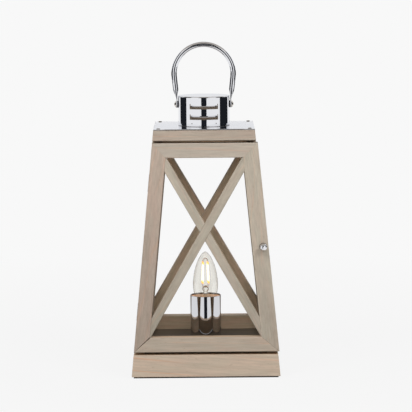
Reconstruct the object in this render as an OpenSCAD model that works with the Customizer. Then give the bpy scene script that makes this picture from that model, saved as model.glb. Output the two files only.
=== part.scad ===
// Lantern table lamp: a leaning wooden case with a hinged front, a chromed top and a candle bulb.
// Millimetres. +Z is up, the door faces -Y, and the origin is the middle of the underside.

/* [Body] */
// Width of the case where its leaning sides would meet the table
base_w = 202; // [196:1:210]
// Lean of all four sides from the vertical, in degrees
lean = 5.5; // [5:0.1:5.8]
// Height of the plinth's top edge
plinth_top = 31.5; // [30:0.5:33.5]
// Underside of the top board
top_board_z = 319.6; // [316:0.2:324]
// Thickness of the top board
top_board_t = 15; // [14:0.5:18]

/* [Frames] */
// Thickness of the door, back and side frames
frame_t = 14; // [13:0.5:15]
// Width of a frame's stiles and rails
member_w = 20; // [18:0.5:22]
// Height of the bottom rail of the fixed frames, which the floor board partly covers
fixed_rail_h = 24; // [22:0.5:26]
// Width of a diagonal brace
brace_w = 12; // [10:0.5:14]
// Thickness of a diagonal brace
brace_t = 12; // [10:0.5:12.5]
// Angle of the braces above the horizontal
brace_angle = 60; // [59:0.25:61]
// Height at which the braces cross
brace_cross_z = 196.5; // [194:0.5:199]
// Width of the side frames' stiles
side_stile_w = 14; // [12:0.5:18]

/* [Door] */
// Gap between the plinth and the door
door_gap_low = 3.8; // [2.5:0.1:4.5]
// Gap between the door and the top board
door_gap_high = 2.8; // [2:0.1:4]
// Gap between the back of the door and the side frames
door_gap_back = 0.6; // [0.5:0.1:0.8]
// How far the door stands out past the case on the knob's side
door_overhang = 2; // [0:0.5:2.5]
// Height of the middle of the knob
knob_z = 176.5; // [150:0.5:220]
// Distance of the knob from the case's right edge
knob_inset = 5.4; // [5:0.2:12]
// Diameter of the knob's ball
knob_d = 10.6; // [9:0.2:12]
// Height of the middle of the lower hinge
hinge_low_z = 88; // [70:1:110]
// Height of the middle of the upper hinge
hinge_high_z = 262; // [240:1:280]

/* [Plinth and floor] */
// Thickness of the felt under the base
felt_t = 2; // [1:0.25:2.5]
// How far the felt stops short of the plinth's outer edge
felt_inset = 2.7; // [2:0.1:5]
// Thickness of the plinth boards
plinth_t = 18; // [17:0.5:20]
// Thickness of the board that closes the underside
bottom_board_t = 4; // [3:0.5:5]
// Thickness of the floor board inside the case
floor_t = 4; // [3:0.5:5]
// Bore of the bush in the back of the plinth, where the lead goes in
bush_bore_d = 7; // [6:0.5:8]

/* [Top and handle] */
// Thickness of the metal top plate
plate_t = 1; // [0.8:0.1:1.5]
// Outer diameter of the chimney
chimney_d = 71; // [68:0.5:74]
// Height of the chimney's top
chimney_top = 376.8; // [374:0.2:380]
// Half of the angle that one vent slot spans
slot_half_angle = 33; // [28:1:38]
// Height of a vent slot
slot_h = 7.2; // [6:0.2:8]
// Height of the handle's pivot
pivot_z = 364.6; // [362:0.2:367]
// Height of the top of the handle
handle_top = 450.6; // [440:0.2:460]
// Outer diameter of the handle's arc
handle_od = 89; // [87:0.5:91]
// Diameter of the handle's round bar
handle_bar_d = 7.5; // [6:0.1:8]

/* [Lampholder and bulb] */
// Outer diameter of the metal sleeve
sleeve_d = 43; // [41:0.5:46]
// Height of the sleeve's rim
sleeve_top = 98.5; // [94:0.5:102]
// Height of the lower end of the bulb
bulb_base_z = 61; // [60:0.5:62]
// Height of the bulb's tip
bulb_tip_z = 159; // [155:0.5:163]
// Greatest diameter of the bulb's glass
bulb_d = 35; // [33:0.5:37]

/* [Hidden] */
$fn = 64;

// Colours, as the lamp shows them
WOOD = "#b5a591";
WOOD_SHADE = "#9c8b77";
INNER_BOARD = "#5d5347";
CHROME = "#dfe3e8";
STEEL = "#a8aaad";
BRASS = "#c9a24a";
BLACK = "#222222";
BAKELITE = "#efece4";
GLASS = "#dfe8ea";
AMBER = "#f2b04a";
SLEEVING = "#f4f1ea";

// The leaning case
slope = tan(lean);
door_bottom = plinth_top + door_gap_low;
door_top = top_board_z - door_gap_high;
plate_z = top_board_z + top_board_t;
floor_top = plinth_top + floor_t;
side_front_inset = frame_t + door_gap_back;
far = 400;

// How far a cutting shape starts outside what it cuts, and how far welded shapes overlap
over = 1;
weld = 0.2;

// Bottom board and felt
rebate_w = 8;
board_play = 0.2;
bottom_board_half = half(felt_t) - plinth_t + rebate_w;
bottom_top = felt_t + bottom_board_t;
base_screw_at = 62;

// Screws: shank radius, head radius, head height, length
screw_play = 0.05;
screw_tip_play = 0.5;
// A driver's slot: length, width and depth as shares of the head's radius and height
driver_slot = [1.4, 0.24, 0.35];
base_screw = [1.5, 3, 1.6, 14];
knob_screw_size = [2, 3.7, 2, 18];
hinge_screw = [0.9, 1.6, 0.6, 8];
plate_screw = [1.2, 2.4, 0.8, 12];
plate_screw_at = 62;
plate_screw_crown_r = 1.7;

// Chimney
chimney_r = chimney_d / 2;
chimney_wall = 1;
chimney_edge_r = 1.5;
flange_r = chimney_r + 4;
flange_t = 0.8;
vent_hole_r = 28;
slot_centres = [348.9, 363.3];
flap_half_angle = slot_half_angle - 2.6;
flap_drop = 3.2;
flap_reach = 3.6;
flap_t = 0.8;
flap_root = 0.5;
flap_skin = 0.15;

// Handle and its pivots, as distances from the chimney's axis
handle_arc_r = (handle_od - handle_bar_d) / 2;
handle_arc_z = handle_top - handle_od / 2;
leg_lean = 6;
leg_len = 16;
// How much thinner a leg's bar is than the arc's, and the bar over the pressed end than the leg's
bar_step = 0.06;
tab_top = 372;
tab_w = 10;
washer_t = 0.8;
tab_t = 1.8;
pivot_play = 0.05;
tab_x = chimney_r + washer_t + pivot_play;
pivot_r = 1.95;
pivot_bore_r = 2;
dome_r = 4.8;
dome_h = 2.7;
dome_ball_r = (dome_r * dome_r + dome_h * dome_h) / (2 * dome_h);
nut_t = 2.4;
nut_across = 7;
nut_seat = 0.4;
shank_end = 1;

// Hinges, in the hinge line's own frame: X along the door's back, Z up the hinge line
hinge_inset = 1.2;
hinge_len = 24;
knuckle_r = 1.7;
knuckle_gap = 0.25;
knuckle_play = 0.2;
recess_play = 0.1;
leaf_w = 11;
leaf_t = 0.7;
leaf_gap = 0.05;
pin_r = 0.8;
pin_play = 0.05;
pin_head_r = 1.5;
pin_head_t = 0.6;
door_chamfer = 0.8;
frame_chamfer = 0.3;
arris_cut = 20;
hinge_screw_x = 7;
hinge_screw_z = 7;

// Catch on the right-hand frame
catch_z = [166.5, 186.5];
catch_w = 5.3;
catch_depth = 12;
striker_t = 0.8;
striker_inset = 0.4;
catch_gap = 0.3;

// Knob
knob_neck_r = 2.4;
knob_foot_r = 4;
knob_foot_t = 1;
knob_reach = 8;
knob_bore_play = 0.4;

// Lampholder
nipple_r = 5;
nipple_bore_r = 3.6;
nipple_z = [24, 50];
nipple_nut_t = 3;
nipple_nut_across = 14;
sleeve_wall = 1;
holder_r = [11, 13.5];
holder_step_z = 52;
holder_top = bulb_base_z + 20;
holder_bore_r = 7.6;
holder_seat_z = bulb_base_z - 1;
holder_cavity_r = 5.5;
holder_cavity_top = 56;
holder_base_z = floor_top + sleeve_wall;

// Its contacts: a tongue under the cap, and a strip beside the cap's thread
contact_z = holder_seat_z - 3;
contact_w = 3;
contact_t = 0.6;
contact_len = 3.4;
tongue = [2.4, 3.4];
strip = [0.3, 14];
strip_gap = 0.1;

// Bulb
cap_r = 7;
cap_top = bulb_base_z + 24;
// The cap's foot, as radii and heights above its lower end
cap_foot = [[0, 0], [2.4, 0], [3, 1], [6, 2.6]];
// Its collar: how far it stands out, and how far below the top its flare ends and starts
cap_collar = [0.5, 2.6, 4];
thread_pitch = 2.82;
thread_turns = 6;
thread_start = 3.5;
// One ridge of the thread, as shares of the pitch and depths under the cap's radius
thread_ridge = [[0, 0.05], [0.32, 0.4], [0.68, 0.4], [0.99, 0.05]];
glass_t = 0.8;
glass_neck_r = 7.4;
glass_neck_z = cap_top - 2;
glass_wide_z = 113;
glass_steps = 14;
glass_belly = 0.6;
glass_taper = 1.8;
filament_r = 0.9;
filament_z = [114.5, 144.5];
filament_spread = [5.4, 4.4];
filament_turn = 57;
// The glass stem, as radii and heights, and the wires that carry the filaments
stem_top = 107;
stem = [[4.4, glass_neck_z], [3.2, 92], [2.6, 100], [3.4, 103], [2.6, stem_top - 1]];
wire_r = 0.3;
wire_root = 2;
wire_bite = 0.5;
wire_lean = 70;

// Wiring in the base
lead_r = 1;
lead_bend_r = 1.1;
lead_x = 1.7;
lead_z = bottom_top + 6;
lead_entry = 2;
lead_in = 8;
block_y = [36, 56];
block_size = [22, 12];
clamp_r = 2.2;
clamp_rise = 3;
bush_z = 17;
bush_r = 5.5;
bush_flange_r = 8;
bush_flange_t = 2;
bush_end = 1;

// Half of the case's width at height z
function half(z) = base_w / 2 - z * slope;

// A prism through the case along Y, from an outline drawn as [x, z]
module through(outline) {
  rotate([90, 0, 0])
    linear_extrude(height = 2 * far, center = true)
      polygon(outline);
}

// The layer between depths a and b behind the leaning front face, from z0 to z1
module front_layer(a, b, z0, z1) {
  rotate([90, 0, 90])
    linear_extrude(height = 2 * far, center = true)
      polygon([
        [a - half(z0), z0],
        [b - half(z0), z0],
        [b - half(z1), z1],
        [a - half(z1), z1]
      ]);
}

// Edges of the frames' openings
fixed_low = plinth_top + fixed_rail_h;
high = door_top - member_w;
side_opening_inset = side_front_inset + side_stile_w;

// The side frames' braces run from corner to corner, and end on the stiles a little clear of the rails
corner_play = 0.4;
side_run = half(fixed_low) + half(high) - 2 * side_opening_inset;
side_rise = high - fixed_low;
side_brace_angle = atan(side_rise / side_run)
  - asin((brace_w + 2 * corner_play) / norm([side_run, side_rise]));
side_cross_z = fixed_low + (half(fixed_low) - side_opening_inset) * tan(side_brace_angle)
  + (brace_w / 2 + corner_play) / cos(side_brace_angle);

// A frame: [foot, head, opening's foot, left edge, right edge, opening's left, opening's right,
// brace angle, height where the braces cross], with the edges as depths from the case's corners
DOOR = [
  door_bottom, door_top, door_bottom + member_w,
  0, -door_overhang, member_w, member_w, brace_angle, brace_cross_z
];
BACK = [
  plinth_top, top_board_z, fixed_low,
  0, 0, member_w, member_w, brace_angle, brace_cross_z
];
LEFT = [
  plinth_top, top_board_z, fixed_low,
  frame_t, side_front_inset, side_opening_inset, side_opening_inset, side_brace_angle, side_cross_z
];
RIGHT = [
  plinth_top, top_board_z, fixed_low,
  side_front_inset, frame_t, side_opening_inset, side_opening_inset, side_brace_angle, side_cross_z
];

function x_left(f, z) = f[3] - half(z);
function x_right(f, z) = half(z) - f[4];

// The opening of a frame, as an outline
function opening(f) = [
  [f[5] - half(f[2]), f[2]],
  [half(f[2]) - f[6], f[2]],
  [half(high) - f[6], high],
  [f[5] - half(high), high]
];

// The four mitred members of a frame
module frame_left_stile(f) {
  o = opening(f);
  intersection() {
    through([[x_left(f, f[0]), f[0]], o[0], o[3], [x_left(f, f[1]), f[1]]]);
    front_layer(0, frame_t, f[0], f[1]);
  }
}

module frame_right_stile(f) {
  o = opening(f);
  intersection() {
    through([[x_right(f, f[0]), f[0]], [x_right(f, f[1]), f[1]], o[2], o[1]]);
    front_layer(0, frame_t, f[0], f[1]);
  }
}

module frame_bottom_rail(f) {
  o = opening(f);
  intersection() {
    through([[x_left(f, f[0]), f[0]], [x_right(f, f[0]), f[0]], o[1], o[0]]);
    front_layer(0, frame_t, f[0], f[1]);
  }
}

module frame_top_rail(f) {
  o = opening(f);
  intersection() {
    through([[x_left(f, f[1]), f[1]], o[3], o[2], [x_right(f, f[1]), f[1]]]);
    front_layer(0, frame_t, f[0], f[1]);
  }
}

// One diagonal bar of a frame, rising to the right for turn = 1 and falling for turn = -1
function bar(f, turn) =
  let (
    rise = brace_w / 2 / cos(f[7]),
    climb = far * tan(f[7]) * turn
  )
  [
    [-far, f[8] - climb - rise],
    [far, f[8] + climb - rise],
    [far, f[8] + climb + rise],
    [-far, f[8] - climb + rise]
  ];

// A brace is half-lapped with the other one: the rising bar keeps its front half
module frame_brace(f, turn) {
  skin = (frame_t - brace_t) / 2;
  cut_from = turn > 0 ? frame_t / 2 : -over;
  cut_to = turn > 0 ? frame_t + over : frame_t / 2;
  difference() {
    intersection() {
      through(bar(f, turn));
      through(opening(f));
      front_layer(skin, frame_t - skin, f[0], f[1]);
    }
    intersection() {
      through(bar(f, -turn));
      front_layer(cut_from, cut_to, f[0], f[1]);
    }
  }
}

// Places a front-facing piece on the back, the left or the right of the case
module on_back() {
  rotate([0, 0, 180])
    children();
}

module on_left() {
  rotate([0, 0, -90])
    children();
}

module on_right() {
  rotate([0, 0, 90])
    children();
}

// The hinge line leans back and inwards with the case's front left corner
function hinge_point(z) = [hinge_inset - half(z), frame_t + door_gap_back / 2 - half(z), z];

module hinge_frame(z) {
  a = sqrt(1 + slope * slope);
  b = sqrt(1 + 2 * slope * slope);
  p = hinge_point(z);
  multmatrix([
    [a / b, 0, slope / b, p[0]],
    [-slope * slope / a / b, 1 / a, slope / b, p[1]],
    [-slope / a / b, -slope / a, 1 / b, p[2]],
    [0, 0, 0, 1]
  ])
    children();
}

// Chamfers that let the door's edge turn past the side frame
module door_arris_cut() {
  hinge_frame(brace_cross_z)
    rotate([0, 0, 45])
      translate([-arris_cut / 2, -door_chamfer / sqrt(2), -far / 2])
        cube([arris_cut, arris_cut, far]);
}

module frame_arris_cut() {
  hinge_frame(brace_cross_z)
    rotate([0, 0, 45])
      translate([frame_chamfer / sqrt(2) - arris_cut, -arris_cut / 2, -far / 2])
        cube([arris_cut, arris_cut, far]);
}

// A countersunk screw whose head is flush at the origin, pointing down
module flush_screw(size, play) {
  difference() {
    union() {
      translate([0, 0, -size[2]])
        cylinder(h = size[2], r1 = size[0] + play, r2 = size[1] + play);
      translate([0, 0, -size[3] - play])
        cylinder(h = size[3] + play - size[2] / 2, r = size[0] + play);
    }
    if (play == 0)
      translate([-size[1] * driver_slot[0] / 2, -size[2] * driver_slot[1] / 2, -size[2] * driver_slot[2]])
        cube([size[1] * driver_slot[0], size[2] * driver_slot[1], size[2]]);
  }
}

// ---- Door ----

module hinge_recess(side) {
  depth = leaf_t + leaf_gap + screw_play;
  for (z = [hinge_low_z, hinge_high_z])
    hinge_frame(z) {
      cylinder(h = hinge_len + 2 * (pin_head_t + knuckle_play), r = knuckle_r + knuckle_gap, center = true);
      translate([0, side > 0 ? 0 : -depth, -hinge_len / 2 - recess_play])
        cube([leaf_w + recess_play, depth, hinge_len + 2 * recess_play]);
      for (s = [-1, 1])
        translate([hinge_screw_x, side * leaf_gap, s * hinge_screw_z])
          rotate([side * 90, 0, 0])
            flush_screw(hinge_screw, screw_play);
    }
}

module door_left_stile() {
  color(WOOD)
    difference() {
      frame_left_stile(DOOR);
      door_arris_cut();
      hinge_recess(-1);
    }
}

// The knob's own frame: Z out of the door, square to its leaning face
module knob_frame() {
  translate([half(knob_z) - knob_inset, -half(knob_z), knob_z])
    rotate([90 - lean, 0, 0])
      children();
}

module door_right_stile() {
  color(WOOD)
    difference() {
      frame_right_stile(DOOR);
      knob_frame()
        translate([0, 0, -frame_t * cos(lean)])
          rotate([180, 0, 0])
            flush_screw(knob_screw_size, screw_play);
    }
}

module door_top_rail() {
  color(WOOD)
    difference() {
      frame_top_rail(DOOR);
      door_arris_cut();
    }
}

module door_bottom_rail() {
  color(WOOD)
    difference() {
      frame_bottom_rail(DOOR);
      door_arris_cut();
    }
}

module door_rising_brace() {
  color(WOOD)
    frame_brace(DOOR, 1);
}

module door_falling_brace() {
  color(WOOD)
    frame_brace(DOOR, -1);
}

module door_knob() {
  color(CHROME)
    knob_frame()
      difference() {
        union() {
          cylinder(h = knob_foot_t, r = knob_foot_r);
          cylinder(h = knob_reach, r = knob_neck_r);
          translate([0, 0, knob_reach])
            sphere(d = knob_d);
        }
        translate([0, 0, -over])
          cylinder(
            h = knob_screw_size[3] - frame_t * cos(lean) + over + knob_bore_play,
            r = knob_screw_size[0] + screw_play
          );
      }
}

module knob_screw() {
  color(STEEL)
    knob_frame()
      translate([0, 0, -frame_t * cos(lean)])
        rotate([180, 0, 0])
          flush_screw(knob_screw_size, 0);
}

// ---- Hinges ----

// A hinge leaf and its knuckles; the door's leaf carries the middle knuckle
module hinge_leaf(side) {
  third = hinge_len / 3;
  span = third - knuckle_gap;
  places = side < 0 ? [0] : [-third, third];
  others = side < 0 ? [-third, third] : [0];
  difference() {
    union() {
      translate([0, side > 0 ? leaf_gap : -leaf_gap - leaf_t, -hinge_len / 2])
        cube([leaf_w, leaf_t, hinge_len]);
      for (z = places)
        translate([0, 0, z])
          cylinder(h = span, r = knuckle_r, center = true);
    }
    for (z = others)
      translate([0, 0, z])
        cylinder(h = third + knuckle_gap, r = knuckle_r + knuckle_play, center = true);
    cylinder(h = hinge_len + 2 * over, r = pin_r + pin_play, center = true);
    for (s = [-1, 1])
      translate([hinge_screw_x, side * leaf_gap, s * hinge_screw_z])
        rotate([side * 90, 0, 0])
          flush_screw(hinge_screw, screw_play);
  }
}

module hinge_door_leaves() {
  color(STEEL)
    for (z = [hinge_low_z, hinge_high_z])
      hinge_frame(z)
        hinge_leaf(-1);
}

module hinge_frame_leaves() {
  color(STEEL)
    for (z = [hinge_low_z, hinge_high_z])
      hinge_frame(z)
        hinge_leaf(1);
}

module hinge_pins() {
  color(STEEL)
    for (z = [hinge_low_z, hinge_high_z])
      hinge_frame(z) {
        cylinder(h = hinge_len, r = pin_r, center = true);
        for (s = [-1, 1])
          translate([0, 0, s * (hinge_len + pin_head_t) / 2])
            cylinder(h = pin_head_t, r = pin_head_r, center = true);
      }
}

module hinge_screws(side) {
  for (z = [hinge_low_z, hinge_high_z])
    hinge_frame(z)
      for (s = [-1, 1])
        translate([hinge_screw_x, side * leaf_gap, s * hinge_screw_z])
          rotate([side * 90, 0, 0])
            flush_screw(hinge_screw, 0);
}

module hinge_door_screws() {
  color(STEEL)
    hinge_screws(-1);
}

module hinge_frame_screws() {
  color(STEEL)
    hinge_screws(1);
}

// ---- Magnetic catch, behind the door's right stile ----

// A block between depths a from the right face and b from the front face
module corner_block(a, b, z) {
  intersection() {
    through([
      [half(z[0]) - a[1], z[0]],
      [half(z[0]) - a[0], z[0]],
      [half(z[1]) - a[0], z[1]],
      [half(z[1]) - a[1], z[1]]
    ]);
    front_layer(b[0], b[1], z[0], z[1]);
  }
}

module magnet_catch() {
  front = frame_t + striker_t + catch_gap;
  color(BLACK)
    corner_block([frame_t, frame_t + catch_w], [front, front + catch_depth], catch_z);
}

module striker_plate() {
  color(STEEL)
    corner_block([frame_t + striker_inset, frame_t + catch_w], [frame_t, frame_t + striker_t], catch_z);
}

// ---- Back and side frames ----

module back_left_stile() {
  color(WOOD_SHADE)
    on_back()
      frame_right_stile(BACK);
}

module back_right_stile() {
  color(WOOD_SHADE)
    on_back()
      frame_left_stile(BACK);
}

module back_top_rail() {
  color(WOOD_SHADE)
    on_back()
      frame_top_rail(BACK);
}

module back_bottom_rail() {
  color(WOOD_SHADE)
    on_back()
      frame_bottom_rail(BACK);
}

module back_rising_brace() {
  color(WOOD_SHADE)
    on_back()
      frame_brace(BACK, 1);
}

module back_falling_brace() {
  color(WOOD_SHADE)
    on_back()
      frame_brace(BACK, -1);
}

module left_rear_stile() {
  color(WOOD)
    on_left()
      frame_left_stile(LEFT);
}

module left_front_stile() {
  color(WOOD)
    difference() {
      on_left()
        frame_right_stile(LEFT);
      frame_arris_cut();
      hinge_recess(1);
    }
}

module left_top_rail() {
  color(WOOD)
    difference() {
      on_left()
        frame_top_rail(LEFT);
      frame_arris_cut();
    }
}

module left_bottom_rail() {
  color(WOOD)
    difference() {
      on_left()
        frame_bottom_rail(LEFT);
      frame_arris_cut();
    }
}

module left_rising_brace() {
  color(WOOD)
    on_left()
      frame_brace(LEFT, 1);
}

module left_falling_brace() {
  color(WOOD)
    on_left()
      frame_brace(LEFT, -1);
}

module right_front_stile() {
  color(WOOD)
    on_right()
      frame_left_stile(RIGHT);
}

module right_rear_stile() {
  color(WOOD)
    on_right()
      frame_right_stile(RIGHT);
}

module right_top_rail() {
  color(WOOD)
    on_right()
      frame_top_rail(RIGHT);
}

module right_bottom_rail() {
  color(WOOD)
    on_right()
      frame_bottom_rail(RIGHT);
}

module right_rising_brace() {
  color(WOOD)
    on_right()
      frame_brace(RIGHT, 1);
}

module right_falling_brace() {
  color(WOOD)
    on_right()
      frame_brace(RIGHT, -1);
}

// ---- Plinth, floor and underside ----

// The screws that hold the bottom board, in their two rows along the front and the back
module base_screw_set(play) {
  y = bottom_board_half - rebate_w / 2;
  for (turn = [0, 180])
    rotate([0, 0, turn])
      for (x = [-base_screw_at, base_screw_at])
        translate([x, y, felt_t])
          rotate([180, 0, 0])
            flush_screw(base_screw, play);
}

// One mitred plinth board, rebated for the bottom board
module plinth_board() {
  difference() {
    intersection() {
      front_layer(0, plinth_t, felt_t, plinth_top);
      linear_extrude(height = far)
        polygon([[0, 0], [-far, -far], [far, -far]]);
    }
    translate([-bottom_board_half, -bottom_board_half, 0])
      cube([2 * bottom_board_half, 2 * bottom_board_half, bottom_top]);
  }
}

module plinth_front() {
  color(WOOD)
    difference() {
      plinth_board();
      base_screw_set(screw_play);
    }
}

// The lead's way in: square to the leaning back of the plinth
module bush_frame() {
  translate([0, half(bush_z), bush_z])
    rotate([-90 + lean, 0, 0])
      children();
}

module plinth_back() {
  color(WOOD)
    difference() {
      on_back()
        plinth_board();
      base_screw_set(screw_play);
      bush_frame()
        cylinder(h = far / 2, r = bush_r + screw_play, center = true);
    }
}

module plinth_left() {
  color(WOOD)
    on_left()
      plinth_board();
}

module plinth_right() {
  color(WOOD)
    on_right()
      plinth_board();
}

module floor_board() {
  side = half(floor_top) - side_front_inset - board_play;
  back = half(floor_top) - frame_t - board_play;
  color(INNER_BOARD)
    difference() {
      translate([-back, -side, plinth_top])
        cube([2 * back, side + back, floor_t]);
      translate([0, 0, plinth_top - over])
        cylinder(h = floor_t + 2 * over, r = nipple_r + screw_play);
    }
}

module bottom_board() {
  side = bottom_board_half - board_play;
  color(INNER_BOARD)
    difference() {
      translate([-side, -side, felt_t])
        cube([2 * side, 2 * side, bottom_board_t]);
      base_screw_set(screw_play);
    }
}

module base_felt() {
  side = half(felt_t) - felt_inset;
  color(BLACK)
    translate([-side, -side, 0])
      cube([2 * side, 2 * side, felt_t]);
}

module base_screws() {
  color(STEEL)
    base_screw_set(0);
}

// ---- Top ----

module plate_screw_holes() {
  for (x = [-plate_screw_at, plate_screw_at], y = [-plate_screw_at, plate_screw_at])
    translate([x, y, plate_z + plate_t - plate_screw[3]])
      cylinder(h = plate_screw[3] + over, r = plate_screw[0] + screw_play);
}

module top_board() {
  outline = [
    [-half(top_board_z), top_board_z],
    [half(top_board_z), top_board_z],
    [half(plate_z), plate_z],
    [-half(plate_z), plate_z]
  ];
  color(WOOD)
    difference() {
      intersection() {
        through(outline);
        rotate([0, 0, 90])
          through(outline);
      }
      translate([0, 0, top_board_z - over])
        cylinder(h = top_board_t + 2 * over, r = vent_hole_r);
      translate([0, 0, plate_z - flange_t])
        cylinder(h = flange_t + over, r = flange_r + screw_play);
      plate_screw_holes();
    }
}

module top_plate() {
  side = half(plate_z);
  color(CHROME)
    difference() {
      translate([-side, -side, plate_z])
        cube([2 * side, 2 * side, plate_t]);
      translate([0, 0, plate_z - over])
        cylinder(h = plate_t + 2 * over, r = chimney_r + screw_play);
      plate_screw_holes();
    }
}

module plate_screws() {
  top = plate_z + plate_t;
  color(STEEL)
    for (x = [-plate_screw_at, plate_screw_at], y = [-plate_screw_at, plate_screw_at])
      translate([x, y, top]) {
        translate([0, 0, screw_tip_play - plate_screw[3]])
          cylinder(h = plate_screw[3], r = plate_screw[0]);
        cylinder(h = plate_screw[2], r1 = plate_screw[1], r2 = plate_screw_crown_r);
      }
}

// A piece of revolution that spans the given half angle about the front
module front_arc(half_angle) {
  rotate([0, 0, -90 - half_angle])
    rotate_extrude(angle = 2 * half_angle)
      children();
}

module pivot_bores(from, to, r) {
  for (s = [-1, 1])
    translate([0, 0, pivot_z])
      rotate([0, s * 90, 0])
        translate([0, 0, from])
          cylinder(h = to - from, r = r);
}

// The pressed chimney: a closed cap with two louvred slots in front and two behind
module chimney() {
  r = chimney_r;
  e = chimney_edge_r;
  w = chimney_wall;
  edge = [for (t = [90:-15:0]) [r - e + e * cos(t), chimney_top - e + e * sin(t)]];
  color(CHROME)
    difference() {
      union() {
        difference() {
          rotate_extrude()
            polygon(concat(
              [[0, chimney_top - w], [0, chimney_top]],
              edge,
              [
                [r, plate_z],
                [flange_r, plate_z],
                [flange_r, plate_z - flange_t],
                [r - w, plate_z - flange_t],
                [r - w, chimney_top - e],
                [r - e, chimney_top - w]
              ]
            ));
          for (turn = [0, 180], z = slot_centres)
            rotate([0, 0, turn])
              front_arc(slot_half_angle)
                translate([r - w - over, z - slot_h / 2])
                  square([w + 2 * over, slot_h]);
        }
        for (turn = [0, 180], z = slot_centres)
          rotate([0, 0, turn])
            front_arc(flap_half_angle)
              translate([r, z + slot_h / 2])
                polygon([
                  [-flap_skin, flap_root],
                  [-flap_skin, 0],
                  [-flap_reach + flap_t, -flap_drop],
                  [-flap_reach, -flap_drop + flap_t / 2],
                  [flap_skin - w, flap_root]
                ]);
      }
      pivot_bores(r - w - over, r + over, pivot_bore_r);
    }
}

// ---- Handle ----

module handle_side() {
  leg = [
    handle_arc_r * cos(leg_lean),
    handle_arc_z - handle_arc_r * sin(leg_lean)
  ];
  foot = [leg[0] - leg_len * sin(leg_lean), leg[1] - leg_len * cos(leg_lean)];
  translate([leg[0], 0, leg[1]])
    rotate([0, 180 + leg_lean, 0])
      translate([0, 0, -weld])
        cylinder(h = leg_len + 1.5 * weld, d = handle_bar_d - bar_step);
  hull() {
    translate([foot[0], 0, foot[1]])
      rotate([0, 180 + leg_lean, 0])
        cylinder(h = weld, d = handle_bar_d - 2 * bar_step, $fn = 32);
    translate([tab_x, -tab_w / 2, tab_top])
      cube([tab_t, tab_w, weld]);
  }
  difference() {
    union() {
      translate([tab_x, -tab_w / 2, pivot_z])
        cube([tab_t, tab_w, tab_top + weld - pivot_z]);
      translate([tab_x, 0, pivot_z])
        rotate([0, 90, 0])
          cylinder(h = tab_t, d = tab_w);
    }
    translate([tab_x - over, 0, pivot_z])
      rotate([0, 90, 0])
        cylinder(h = tab_t + 2 * over, r = pivot_bore_r);
  }
}

module handle() {
  color(CHROME) {
    translate([0, 0, handle_arc_z])
      rotate([90, 0, 0])
        rotate([0, 0, -leg_lean])
          rotate_extrude(angle = 180 + 2 * leg_lean)
            translate([handle_arc_r, 0])
              circle(d = handle_bar_d);
    handle_side();
    mirror([1, 0, 0])
      handle_side();
  }
}

// Domed pivot screws: the shank runs through the tab, the washer, the wall and the nut
module handle_screws() {
  seat = tab_x + tab_t + pivot_play;
  inner = chimney_r - chimney_wall - nut_t - shank_end;
  color(CHROME)
    for (s = [-1, 1])
      translate([0, 0, pivot_z])
        rotate([0, s * 90, 0]) {
          translate([0, 0, inner])
            cylinder(h = seat - inner + weld, r = pivot_r);
          translate([0, 0, seat])
            intersection() {
              cylinder(h = dome_h, r = dome_r);
              translate([0, 0, dome_h - dome_ball_r])
                sphere(r = dome_ball_r);
            }
        }
}

module handle_washers() {
  color(BLACK)
    for (s = [-1, 1])
      translate([0, 0, pivot_z])
        rotate([0, s * 90, 0])
          difference() {
            translate([0, 0, chimney_r])
              cylinder(h = washer_t, r = dome_r);
            cylinder(h = far, r = pivot_bore_r);
          }
}

module handle_nuts() {
  face = chimney_r - chimney_wall - nut_seat;
  color(STEEL)
    for (s = [-1, 1])
      translate([0, 0, pivot_z])
        rotate([0, s * 90, 0])
          difference() {
            translate([0, 0, face - nut_t])
              cylinder(h = nut_t, d = nut_across / cos(30), $fn = 6);
            cylinder(h = far, r = pivot_bore_r);
          }
}

// ---- Lampholder, sleeve and wiring ----

module lamp_sleeve() {
  r = sleeve_d / 2;
  color(CHROME)
    translate([0, 0, floor_top])
      difference() {
        cylinder(h = sleeve_top - floor_top, r = r);
        translate([0, 0, sleeve_wall])
          cylinder(h = sleeve_top, r = r - sleeve_wall);
        translate([0, 0, -over])
          cylinder(h = sleeve_wall + 2 * over, r = nipple_r + screw_play);
      }
}

module lampholder() {
  color(BAKELITE)
    difference() {
      union() {
        translate([0, 0, holder_base_z])
          cylinder(h = holder_step_z - holder_base_z, r = holder_r[0]);
        translate([0, 0, holder_step_z])
          cylinder(h = holder_top - holder_step_z, r = holder_r[1]);
      }
      translate([0, 0, holder_base_z - over])
        cylinder(h = nipple_z[1] - holder_base_z + over, r = nipple_r + screw_play);
      translate([0, 0, nipple_z[1] - over])
        cylinder(h = holder_cavity_top - nipple_z[1] + over, r = holder_cavity_r);
      translate([0, 0, contact_z])
        cylinder(h = holder_top - contact_z + over, r = holder_bore_r);
      for (s = [-1, 1])
        translate([s * lead_x, 0, nipple_z[1]])
          cylinder(h = contact_z - nipple_z[1] + over, r = lead_r + screw_play);
    }
}

// Spring tongue under the cap and the strip beside its thread
module lampholder_contacts() {
  strip_x = cap_r + strip_gap;
  foot_x = lead_x - lead_r;
  color(BRASS)
    translate([0, -contact_w / 2, contact_z]) {
      translate([-lead_x - contact_len / 2, 0, 0])
        cube([contact_len, contact_w, contact_t]);
      translate([-lead_x + contact_len / 2 - tongue[0], 0, 0])
        cube([tongue[0], contact_w, tongue[1]]);
      translate([foot_x, 0, 0])
        cube([strip_x + strip[0] - foot_x, contact_w, contact_t]);
      translate([strip_x, 0, 0])
        cube([strip[0], contact_w, strip[1]]);
    }
}

module nipple() {
  color(BRASS)
    translate([0, 0, nipple_z[0]])
      difference() {
        cylinder(h = nipple_z[1] - nipple_z[0], r = nipple_r);
        translate([0, 0, -over])
          cylinder(h = far, r = nipple_bore_r);
      }
}

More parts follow.
